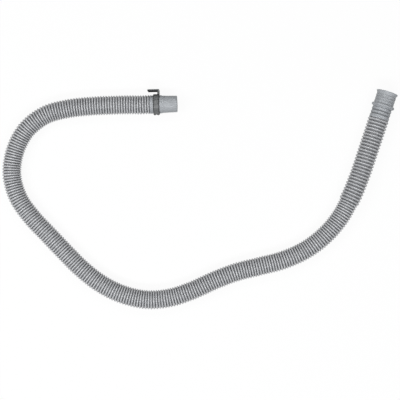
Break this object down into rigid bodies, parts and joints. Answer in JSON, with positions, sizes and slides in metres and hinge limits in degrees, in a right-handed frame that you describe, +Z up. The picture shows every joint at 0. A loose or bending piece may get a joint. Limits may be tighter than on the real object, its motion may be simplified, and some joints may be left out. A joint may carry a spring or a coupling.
{
  "type": "corrugated drain hose",
  "caption": "Corrugated grey drain hose lying in a loose open S, with a plain cuff and clamp at one end and a flanged cuff at the other.",
  "frame": {"origin": "middle of the footprint, on the floor that the hose lies on", "axes": "+X to the right along the longest side and out of the machine cuff, +Y across the loop towards the two cuffs, +Z up"},
  "size_m": [0.6914, 0.385, 0.0402],
  "materials": {
    "hose_grey": "satin light grey polypropylene, slightly cool",
    "cuff_grey": "soft satin grey moulding",
    "clamp_grey": "dark grey, half gloss"
  },
  "bodies": {
    "root": {"corrugated_hose": "hose_grey", "machine_cuff": "cuff_grey", "outlet_cuff": "cuff_grey", "hose_clamp": "clamp_grey"}
  },
  "joints": []
}
